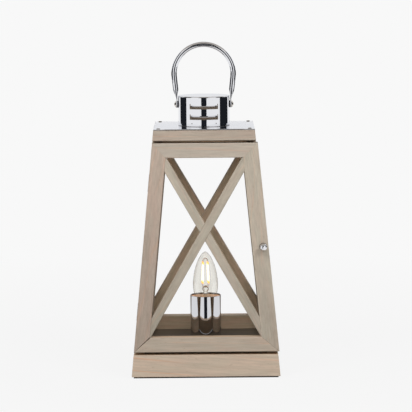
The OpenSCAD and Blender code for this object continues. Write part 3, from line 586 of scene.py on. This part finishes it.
def turned(outline, steps=96, closed=True):
    """A ring or a solid of revolution about Z, from its outline as (radius, height) in millimetres."""
    bm = bmesh.new()
    verts = [bm.verts.new((r * mm, 0, z * mm)) for r, z in outline]
    pairs = list(zip(verts, verts[1:]))
    if closed:
        pairs.append((verts[-1], verts[0]))
    edges = [bm.edges.new(pair) for pair in pairs]
    bmesh.ops.spin(bm, geom=verts + edges, cent=(0, 0, 0), axis=(0, 0, 1), dvec=(0, 0, 0),
                   angle=2 * math.pi, steps=steps, use_merge=True)
    bmesh.ops.remove_doubles(bm, verts=bm.verts, dist=1e-7)
    bmesh.ops.recalc_face_normals(bm, faces=bm.faces)
    return bm


def arc(centre, radius, start, end, count):
    """Points of a round stretch of an outline, both ends included."""
    return [
        (centre[0] + radius * math.cos(math.radians(start + (end - start) * i / count)),
         centre[1] + radius * math.sin(math.radians(start + (end - start) * i / count)))
        for i in range(count + 1)
    ]


def turn_all(bm, angle, axis, verts=None):
    """Turns a bmesh, or some of its vertices, about an axis through the origin."""
    bmesh.ops.rotate(bm, verts=verts or bm.verts, cent=(0, 0, 0), matrix=Matrix.Rotation(angle, 3, axis))


def move_all(bm, way, verts=None):
    """Moves a bmesh, or some of its vertices, by millimetres."""
    bmesh.ops.translate(bm, verts=verts or bm.verts, vec=Vector(way) * mm)


bm = solid_of("top_plate")
eased(bm, [e for e in bm.edges if stands_out(e, 60) and e.calc_length() > 20 * mm], 0.35 * mm, 3)
finished("top_plate_finished", bm, chrome, "case", ["top_plate"], even=True)

# Four small screws with low heads and a cross recess
plate_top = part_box("top_plate")[1].z / mm
screw_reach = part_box("plate_screws")[1].x / mm
head_r, head_h, head_round = 2.4, 0.8, 0.35
recess_size = (head_r * 1.1, 0.45, 0.5)
recess_sunk = 0.2
for i, (x, y) in enumerate(((-1, -1), (1, -1), (-1, 1), (1, 1))):
    bm = turned([(0, plate_top), (head_r, plate_top)]
                + arc((head_r - head_round, plate_top + head_round), head_round, 0, 60, 3)
                + [(head_r * 0.55, plate_top + head_h * 0.92), (0, plate_top + head_h)],
                steps=32, closed=False)
    for turn in (0, 90):
        recess = bmesh.ops.create_cube(bm, size=1.0)["verts"]
        bmesh.ops.scale(bm, verts=recess, vec=Vector(recess_size) * mm)
        turn_all(bm, math.radians(turn + 20 * i), "Z", recess)
        move_all(bm, (0, 0, plate_top + head_h - recess_sunk), recess)
    move_all(bm, (x * (screw_reach - head_r), y * (screw_reach - head_r), 0))
    finished("plate_screw_%d" % (i + 1), bm, aged_steel, "case", ["plate_screws"])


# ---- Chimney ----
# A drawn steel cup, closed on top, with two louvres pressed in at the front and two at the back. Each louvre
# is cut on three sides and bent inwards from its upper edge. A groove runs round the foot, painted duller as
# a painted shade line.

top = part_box("chimney")[1].z / mm
plate_under = plate_top - 1.0
chimney_r, chimney_wall, shoulder = 35.5, 1.4, 1.6
slot_h, slot_half_angle, flap_half_angle = 7.2, 33, 30.4
slot_centres = (348.9, 363.3)
line_low, line_high, line_depth, hair = plate_top + 0.05, plate_top + 0.9, 0.2, 0.01
facet = 3

heights = sorted(z + s * slot_h / 2 for z in slot_centres for s in (-1, 1))
outline = [(chimney_r, plate_under), (chimney_r, line_low),
           (chimney_r - line_depth, line_low + line_depth / 4),
           (chimney_r - line_depth, line_high - line_depth / 4), (chimney_r, line_high)]
outline += [(chimney_r, z) for z in heights]
outline += arc((chimney_r - shoulder, top - shoulder), shoulder, 0, 90, 6)
outline += [(chimney_r * share, top) for share in (0.8, 0.4, 0)]
bm = turned(outline, steps=360 // facet, closed=False)


def in_slot(face):
    centre = face.calc_center_median() / mm
    bearing = abs(math.degrees(math.atan2(centre.x, abs(centre.y))))
    return bearing < slot_half_angle and any(abs(centre.z - z) < slot_h / 2 for z in slot_centres)


bmesh.ops.delete(bm, geom=[f for f in bm.faces if in_slot(f)], context="FACES")
bmesh.ops.solidify(bm, geom=bm.faces, thickness=chimney_wall * mm)

# The chrome is on the outer skin, over the shoulder and in no slot
skin_r, skin_top = (chimney_r - 0.1) * mm, (top - 0.1) * mm
for face in bm.faces:
    middle = face.calc_center_median()
    on_skin = all(v.co.xy.length > skin_r or v.co.z > skin_top for v in face.verts)
    rolled = middle.z > (top - shoulder) * mm and face.normal.z > -0.1
    face.material_index = 0 if on_skin or rolled else 1
    # The groove round the foot takes the duller plating, a painted shade line
    if (line_low + hair) * mm < middle.z < (line_high - hair) * mm and face.normal.dot(middle) > 0:
        face.material_index = 2
# The bare steel inside glows faintly, a painted glow for the bulb's light that rises through the vent
bare_inside_painted_glow = polished("bare_steel_painted_glow", srgb(200, 190, 178), rough=0.5,
                       lamplight=(srgb(250, 236, 220), 0.045))
foot_shade_line = polished("foot_line_painted_shade", srgb(184, 183, 186), rough=0.2)
finished("chimney_cup", bm, [chrome, bare_inside_painted_glow, foot_shade_line], "case", ["chimney"], even=True)

# A flap curls inwards as it leaves the slot's upper edge, drawn as (distance from the wall, height). It bends
# more with each short step, and its back is straight
flap_root, curl_step, curl_steps, lip = (-0.15, 0.5), 0.65, 9, 0.5
curl = [flap_root]
for i in range(curl_steps):
    bend = math.radians(2 + 0.75 * i * i)
    curl.append((curl[-1][0] - curl_step * math.sin(bend), curl[-1][1] - curl_step * math.cos(bend)))
flap_outline = curl + [(curl[-1][0] - lip, curl[-1][1] + lip), (-1.1, -0.6), (-0.85, 0.5)]
for z in slot_centres:
    for side, turn in (("front", -90), ("back", 90)):
        bm = bmesh.new()
        face = bm.faces.new([
            bm.verts.new(((chimney_r + x) * mm, 0, (z + slot_h / 2 + y) * mm)) for x, y in flap_outline
        ])
        turn_all(bm, math.radians(turn - flap_half_angle), "Z")
        bmesh.ops.spin(bm, geom=[face] + list(face.edges) + list(face.verts), cent=(0, 0, 0), axis=(0, 0, 1),
                       dvec=(0, 0, 0), angle=math.radians(2 * flap_half_angle), steps=20)
        bmesh.ops.recalc_face_normals(bm, faces=bm.faces)
        finished("louvre_%s_%d" % (side, round(z)), bm, chrome, "case", even=True)


# ---- Handle ----
# One round steel bar, bent to an arch and chromed. Its ends are pressed flat, drilled, and hung on two domed
# screws that run through the chimney's wall.

pivot_z = 364.6
handle_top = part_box("handle")[1].z / mm
bar_r, arc_r, leg_lean, leg_len = 3.75, 40.75, math.radians(6), 16
arc_z = handle_top - arc_r - bar_r
tab_x, tab_half_t, tab_half_w, tab_top = 37.25, 0.9, 5.0, 372.0
tab_squareness, round_squareness = 5.0, 2.0
tip_steps, flare_steps, arch_steps, ring_points = 8, 8, 32, 32

leg = Vector((arc_r * math.cos(leg_lean), 0, arc_z - arc_r * math.sin(leg_lean)))
foot = leg - leg_len * Vector((math.sin(leg_lean), 0, math.cos(leg_lean)))

# Stations from the right-hand tab's tip up to the crown: place, tilt of the bar, half sizes, squareness
stations = []
for i in range(tip_steps):
    t = math.radians(90 * (1 - i / tip_steps))
    stations.append((Vector((tab_x, 0, pivot_z - tab_half_w * math.sin(t))), 0,
                     tab_half_t, max(tab_half_w * math.cos(t), 0.5), tab_squareness))
stations.append((Vector((tab_x, 0, pivot_z)), 0, tab_half_t, tab_half_w, tab_squareness))
for i in range(flare_steps + 1):
    t = i / flare_steps
    ease = t * t * (3 - 2 * t)
    stations.append((Vector((tab_x, 0, tab_top)).lerp(foot, t), leg_lean * ease,
                     tab_half_t + (bar_r - tab_half_t) * ease, tab_half_w + (bar_r - tab_half_w) * ease,
                     tab_squareness + (round_squareness - tab_squareness) * ease))
stations.append((leg, leg_lean, bar_r, bar_r, round_squareness))
for i in range(1, arch_steps + 1):
    a = -leg_lean + (math.radians(90) + leg_lean) * i / arch_steps
    stations.append((Vector((arc_r * math.cos(a), 0, arc_z + arc_r * math.sin(a))), -a, bar_r, bar_r,
                     round_squareness))

bm = bmesh.new()


def bar_ring(place, tilt, half_thick, half_wide, square):
    """One cross-section of the bar: a circle, or a rounded rectangle where it is pressed flat."""
    ring = bmesh.ops.create_circle(bm, segments=ring_points, radius=1.0)["verts"]
    for v in ring:
        for k, half in ((0, half_thick), (1, half_wide)):
            v.co[k] = math.copysign(abs(v.co[k]) ** (2 / square), v.co[k]) * half
    bmesh.ops.transform(bm, verts=ring, matrix=Matrix.Translation(place) @ Matrix.Rotation(tilt, 4, "Y"))
    on_ring = set(ring)
    return [e for e in bm.edges if on_ring.issuperset(e.verts)]


rings = [bar_ring(*station) for station in stations]
for low, high in zip(rings, rings[1:]):
    bmesh.ops.bridge_loops(bm, edges=low + high)
bmesh.ops.edgeloop_fill(bm, edges=rings[0])
bmesh.ops.scale(bm, verts=bm.verts, vec=(mm, mm, mm))
bmesh.ops.mirror(bm, geom=list(bm.verts) + list(bm.edges) + list(bm.faces), axis="X", merge_dist=1e-6)
bmesh.ops.remove_doubles(bm, verts=bm.verts, dist=1e-6)
bmesh.ops.recalc_face_normals(bm, faces=bm.faces)
drawn_chrome = polished("drawn_bar_chrome", bright, rough=0.025, ripple=0.04)
finished("handle_bar", bm, drawn_chrome, "handle", ["handle"], smooth=40)

# The pivot screws' domes stand outside the tabs, and their shanks run in to the nuts
screw_chrome = polished("brushed_dome", srgb(222, 216, 208), rough=0.24)
dome_r, dome_h, shank_r, shank_in = 4.8, 2.7, 1.95, 31.1
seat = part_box("handle_screws")[1].x / mm - dome_h
dome_curve = (dome_r ** 2 + dome_h ** 2) / (2 * dome_h)
rim_angle = math.degrees(math.asin(dome_r / dome_curve))
for side, turn in (("right", 90), ("left", -90)):
    bm = turned([(0, shank_in), (shank_r, shank_in), (shank_r, seat), (dome_r - 0.3, seat)]
                + arc((0, seat + dome_h - dome_curve), dome_curve, 90 - rim_angle, 90, 10)[:-1]
                + [(0, seat + dome_h)], steps=48, closed=False)
    turn_all(bm, math.radians(turn), "Y")
    move_all(bm, (0, 0, pivot_z))
    finished("pivot_screw_" + side, bm, screw_chrome, "case", ["handle_screws"], even=True)


# ---- Knob ----
# A small turned and chromed ball on a neck, and a base painted near black as a painted shade round the ball.
# A countersunk screw holds it from behind the stile.

base_r, ball_r, reach, base_top = 5.3, 5.0, 8.0, 2.4
low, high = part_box("door_knob")
middle = Vector(((low.x + high.x) / 2 / mm, low.y / mm + base_r, high.z / mm - base_r))
bm = turned([(0, 0)] + arc((base_r - 0.4, 0.5), 0.4, -60, 90, 5) + [(2.9, 1.15)]
            + arc((3.3, 2.2), 0.9, 230, 180, 4)
            + arc((0, reach), ball_r, -61, 90, 20)[:-1] + [(0, reach + ball_r)], steps=64, closed=False)
for face in bm.faces:
    face.material_index = int(face.calc_center_median().z < base_top * mm)
move_all(bm, (0, 0, -reach))
turn_all(bm, math.radians(90) - lean, "X")
move_all(bm, middle)
painted_shade_base = polished("knob_base_painted_shade", srgb(48, 42, 38), rough=0.35)
finished("knob_ball", bm, [chrome, painted_shade_base], "door", ["door_knob"])


# ---- Sleeve and lampholder ----
# The sleeve is a chromed tube with a bottom, clamped by the nipple. The top of its bore is painted dark, a
# painted shade, and below that its inside is coppery with a painted glow for the bulb's light. The lampholder
# inside is a white moulding with a brass tongue and side strip for the small screw cap.

# The hole for the nipple goes through the sleeve's bottom and the lampholder's
low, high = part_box("lamp_sleeve")
floor_z, rim_z, sleeve_r, sleeve_wall, hole_r = low.z / mm, high.z / mm, high.x / mm, 1.0, 5.05
inside_r, shaded_rim_h, corner = sleeve_r - sleeve_wall, 2, 0.5
bm = turned(
    [(hole_r, floor_z), (sleeve_r - corner, floor_z), (sleeve_r, floor_z + corner)]
    + arc((sleeve_r - sleeve_wall / 2, rim_z - sleeve_wall / 2), sleeve_wall / 2, 0, 180, 8)
    + [(inside_r, rim_z - shaded_rim_h - 0.1), (inside_r, floor_z + sleeve_wall + corner),
       (inside_r - corner, floor_z + sleeve_wall), (hole_r, floor_z + sleeve_wall)], steps=128)
for face in bm.faces:
    height = face.calc_center_median().z
    in_bore = all(v.co.xy.length < (inside_r + 0.01) * mm for v in face.verts)
    if in_bore and height > (floor_z + sleeve_wall / 2) * mm:
        face.material_index = 2 if height > (rim_z - shaded_rim_h) * mm else 1
sleeve_chrome = polished("handled_chrome", srgb(220, 221, 225))
# The inside's coppery tint is partly copper and partly a painted warm light, and its glow is a painted glow
# from the bulb
copper_and_lamplight = polished("coppery_inside_painted_glow", srgb(230, 206, 186), rough=0.40,
                        lamplight=(srgb(255, 220, 190), 0.28))
shaded_rim = polished("rim_painted_shade", srgb(70, 62, 56), rough=0.15)
finished("sleeve_tube", bm, [sleeve_chrome, copper_and_lamplight, shaded_rim], "case", ["lamp_sleeve"],
         even=True)


def moulded(name, colour, rough=0.45):
    """A moulded plastic with a fine spark-eroded texture and a trace of dust tint."""
    finish, tree, shader, place = new_finish(name)
    dust, shade = clouded(tree, place, 60.0, 2.0, 0.5, colour, 0.88)
    fine = node(tree, "ShaderNodeTexNoise", Scale=900.0, Detail=2.0)
    gloss = node(tree, "ShaderNodeMapRange", To_Min=rough * 0.85, To_Max=rough * 1.2)
    link(tree, place, "Object", fine, "Vector")
    link(tree, shade, mixed_colour, shader, "Base Color")
    link(tree, dust, 0, gloss, "Value")
    link(tree, gloss, 0, shader, "Roughness")
    raise_surface(tree, fine, 0, shader, 0.2, 0.05 * mm)
    return finish


white_moulding = moulded("white_moulding", srgb(236, 231, 220))
black_moulding = moulded("black_moulding", srgb(30, 30, 31), rough=0.5)
silicone = moulded("silicone_sleeving", srgb(240, 236, 226), rough=0.55)

# A stem on the nipple, then the body with a groove near its top, a mouth for the cap and a deep bore
low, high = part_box("lampholder")
holder_low, holder_top, holder_r = low.z / mm, high.z / mm, high.x / mm
stem_r, stem_top, mouth_r, mouth_floor, bore_r, bore_floor = 11, 51, 7.6, 57, 5.5, 50
groove_low, groove_high, groove_depth = holder_top - 9, holder_top - 6.6, 0.7
bm = turned(
    [(hole_r, holder_low), (stem_r, holder_low), (stem_r, stem_top), (holder_r - 0.6, stem_top + 1),
     (holder_r, stem_top + 1.6), (holder_r, groove_low), (holder_r - groove_depth, groove_low + 0.6),
     (holder_r - groove_depth, groove_high - 0.6), (holder_r, groove_high)]
    + arc((holder_r - 1, holder_top - 1), 1, 0, 90, 4)
    + arc((mouth_r + 0.6, holder_top - 0.6), 0.6, 90, 180, 3)
    + [(mouth_r, mouth_floor), (bore_r, mouth_floor), (bore_r, bore_floor), (hole_r, bore_floor)], steps=72)
finished("lampholder_moulding", bm, white_moulding, "case", ["lampholder"])


# ---- Bulb ----
# A clear candle bulb with a small screw cap. Four thin strips stand on a glass stem, glow warm white
# and are amber at their ends, where their coating is thinner.

low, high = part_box("bulb_glass")
tip_z, glass_r = high.z / mm, high.x / mm
neck_z, neck_r, flare_z, wide_z, glass_t = low.z / mm, 7.4, low.z / mm + 2, 113.0, 0.55
glass_steps = 30


def glass_side(inset):
    """The candle outline from the neck to the tip, drawn inwards by inset."""
    r, neck, up, down = glass_r - inset, neck_r - inset, tip_z - inset - wide_z, wide_z - flare_z
    lower = [(neck + (r - neck) * (1 - (1 - i / glass_steps) ** 2) ** 0.6, flare_z + down * i / glass_steps)
             for i in range(glass_steps + 1)]
    rises = [math.sin(math.radians(90 * i / glass_steps)) for i in range(1, glass_steps)]
    upper = [(r * (1 - rise ** 1.8) ** 0.6, wide_z + up * rise) for rise in rises]
    return [(neck, neck_z)] + lower + upper + [(0, wide_z + up)]


glass, tree, shader, place = new_finish("clear_glass")
shader.inputs["Base Color"].default_value = (0.93, 0.92, 0.89, 1)
shader.inputs["Transmission Weight"].default_value = 1.0
shader.inputs["IOR"].default_value = 1.45
smears = node(tree, "ShaderNodeTexNoise", Scale=40.0, Detail=2.0)
marks = node(tree, "ShaderNodeMapRange", From_Min=0.4, From_Max=0.8, To_Min=0.0, To_Max=0.03)
link(tree, place, "Object", smears, "Vector")
link(tree, smears, 0, marks, "Value")
link(tree, marks, 0, shader, "Roughness")

bm = turned(glass_side(0) + glass_side(glass_t)[::-1], steps=96)
finished("bulb_envelope", bm, glass, "bulb", ["bulb_glass"], smooth=60).visible_shadow = False

# The cap: a contact, a cone, six ridges for the thread, and a skirt that holds the glass
low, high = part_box("bulb_cap")
cap_low, cap_top = low.z / mm, high.z / mm
pitch, root_r, crest_r, skirt_r = 2.82, 6.6, 6.95, 7.9
thread = [
    (r, cap_low + z + pitch * i)
    for i in range(6) for r, z in ((root_r, 3.5), (crest_r, 4.4), (crest_r, 5.2), (root_r, 6.1))
]
bm = turned([(0, cap_low), (2.4, cap_low), (3, cap_low + 1), (6, cap_low + 2.6)] + thread
            + [(7, cap_top - 4), (skirt_r, cap_top - 2.6), (skirt_r, cap_top), (neck_r + 0.02, cap_top),
               (neck_r + 0.02, neck_z), (0, neck_z)], steps=64, closed=False)
finished("bulb_screw_cap", bm, zinc, "bulb", ["bulb_cap"])

# The coating glows white along its middle and amber towards both ends
strip_low, strip_high, strip_r, strip_round = 114.5, 144.5, 0.8, 0.3
spread_low, spread_high, first_turn = 6.0, 4.6, 55
amber, warm_white, glow_strength = (1.0, 0.50, 0.07, 1), (1.0, 0.90, 0.74, 1), 1.3

warm_glow, tree, shader, place = new_finish("glowing_strip")
shader.inputs["Roughness"].default_value = 0.6
shader.inputs["Emission Strength"].default_value = glow_strength
parts = node(tree, "ShaderNodeSeparateXYZ")
height = node(tree, "ShaderNodeMapRange", From_Min=strip_low * mm, From_Max=strip_high * mm)
colours = node(tree, "ShaderNodeValToRGB")
stops = colours.color_ramp.elements
stops[0].position, stops[0].color = 0.07, amber
stops[1].position, stops[1].color = 0.93, amber
for at in (0.15, 0.85):
    stops.new(at).color = warm_white
link(tree, place, "Object", parts, 0)
link(tree, parts, "Z", height, "Value")
link(tree, height, 0, colours, 0)
link(tree, colours, 0, shader, "Base Color")
link(tree, colours, 0, shader, "Emission Color")

bm = turned([(0, neck_z), (4.4, neck_z), (3.4, 90), (2.8, 97), (2.6, 102.5)]
            + arc((0, 106.6), 4.5, -52, 60, 12) + [(1.9, 111.0), (0, 111.4)], steps=48, closed=False)
finished("glass_stem", bm, glass, "bulb", ["bulb_filaments"], smooth=60).visible_shadow = False

strip = Vector((spread_high, 0, strip_high)) - Vector((spread_low, 0, strip_low))
for i in range(4):
    bm = turned([(0, 0)] + arc((strip_r - strip_round, strip_round), strip_round, -90, 0, 3)
                + arc((strip_r - strip_round, strip.length - strip_round), strip_round, 0, 90, 3)
                + [(0, strip.length)], steps=20, closed=False)
    bmesh.ops.rotate(bm, verts=bm.verts, cent=(0, 0, 0), matrix=strip.to_track_quat("Z", "Y").to_matrix())
    move_all(bm, (spread_low, 0, strip_low))
    turn_all(bm, math.radians(first_turn + 90 * i), "Z")
    finished("glowing_strip_%d" % (i + 1), bm, warm_glow, "bulb", ["bulb_filaments"])

# Bent wires carry the strips: from the stem up to each foot, and over the top from head to head
wire_r = 0.28
wire = polished("support_wire", srgb(226, 184, 156), rough=0.45)


def bent_wire(name, route):
    """A round wire along a route of (bearing, distance from the middle, height)."""
    curve = bpy.data.curves.new(name, "CURVE")
    curve.dimensions = "3D"
    curve.bevel_depth = wire_r * mm
    curve.bevel_resolution = 3
    curve.use_fill_caps = True
    spline = curve.splines.new("NURBS")
    spline.points.add(len(route) - 1)
    for point, (bearing, out, z) in zip(spline.points, route):
        a = math.radians(bearing)
        point.co = (out * math.cos(a) * mm, out * math.sin(a) * mm, z * mm, 1)
    spline.use_endpoint_u = True
    spline.order_u = 3
    spline.resolution_u = 6
    holder = bpy.data.objects.new(name, curve)
    bpy.context.scene.collection.objects.link(holder)
    bm = bmesh.new()
    bm.from_mesh(holder.to_mesh())
    bpy.data.objects.remove(holder)
    finished(name, bm, wire, "bulb", ["bulb_filaments"], smooth=60)


for i in range(4):
    a = first_turn + 90 * i
    bent_wire("strip_foot_wire_%d" % (i + 1), [(a, 2.4, 104.5), (a, 5.0, 108.0), (a, 4.8, 111.2),
                                               (a, spread_low, 112.5), (a, spread_low, strip_low + 0.8)])
for i in range(2):
    a, b = first_turn + 90 * i, first_turn + 90 * i + 180
    over = strip_high + 4.6 + i * 0.7
    bent_wire("strip_top_wire_%d" % (i + 1), [
        (a, spread_high, strip_high - 0.8), (a, spread_high, strip_high + 2.2),
        (a, spread_high * 0.55, over), (b, spread_high * 0.55, over),
        (b, spread_high, strip_high + 2.2), (b, spread_high, strip_high - 0.8)])


# ---- Cable bush ----
# A black moulded bush with a rounded flange, pressed into the back of the plinth. The mains cord that goes in
# through it is left out.

flange_r, bush_r, inlet_r, flange_t, bush_len = 8.0, 5.5, 3.5, 2.0, 19.0
base_half, bush_z = 101, 17.0
bm = turned(
    arc((inlet_r + 0.5, flange_t - 0.5), 0.5, 180, 90, 3)
    + arc((flange_r - 0.9, flange_t - 0.9), 0.9, 90, 0, 5)
    + [(flange_r, 0), (bush_r, 0), (bush_r, -bush_len + 0.5), (bush_r - 0.5, -bush_len),
       (inlet_r, -bush_len)], steps=64)
turn_all(bm, math.radians(-90) + lean, "X")
move_all(bm, (0, base_half - bush_z * math.tan(lean), bush_z))
finished("cable_bush_moulding", bm, black_moulding, "case", ["cable_bush"])


# ---- Small fittings ----
# Zinc-plated butt hinges, pins, nuts and screws, brass contacts and nipple, a magnet catch in a black case,
# and the felt under the base, with its soft nap and flecks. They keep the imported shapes, with eased edges.

felt, tree, shader, place = new_finish("black_felt")
shader.inputs["Roughness"].default_value = 0.95
shader.inputs["Specular IOR Level"].default_value = 0.2
nap = node(tree, "ShaderNodeTexNoise", Scale=1400.0, Detail=4.0, Roughness=0.7)
shade = node(tree, "ShaderNodeMix", data_type="RGBA")
shade.inputs[first_colour].default_value = srgb(20, 19, 19)
shade.inputs[second_colour].default_value = srgb(40, 39, 40)
link(tree, place, "Object", nap, "Vector")
link(tree, nap, 0, shade, 0)
link(tree, shade, mixed_colour, shader, "Base Color")
raise_surface(tree, nap, 0, shader, 0.8, 0.3 * mm)

# The node, its finish, the body that it rides, its slot and how far its sharp edges are eased
fittings = [
    ("hinge_door_leaves", zinc, "door", "steel", 0.1),
    ("hinge_frame_leaves", zinc, "case", "steel", 0.1),
    ("hinge_pins", zinc, "case", "steel", 0.1),
    ("striker_plate", zinc, "door", "steel", 0.1),
    ("handle_nuts", zinc, "case", "steel", 0.1),
    ("nipple_nut", zinc, "case", "steel", 0.1),
    ("handle_washers", black_moulding, "case", "black_plastic", 0.1),
    ("magnet_catch", black_moulding, "case", "black_plastic", 0.5),
    ("base_felt", felt, "case", "felt", 0.1),
    ("bottom_board", dark_board_finish, "case", "bottom_board", 0.4),
    ("terminal_block", white_moulding, "case", "holder_plastic", 0.4),
]
for name, finish, body, slot, ease in fittings:
    bm = solid_of(name)
    eased(bm, [e for e in bm.edges if stands_out(e, 40)], ease * mm, 2)
    finished(name + "_finished", bm, finish, body, [name], even=True)

# The smallest pieces stay as packed and only take their finish
for name, finish in (("base_screws", zinc), ("knob_screw", zinc), ("hinge_door_screws", zinc),
                     ("hinge_frame_screws", zinc), ("nipple", brass), ("lampholder_contacts", brass),
                     ("internal_leads", silicone)):
    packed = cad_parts[name]
    packed.data.materials.clear()
    packed.data.materials.append(finish)
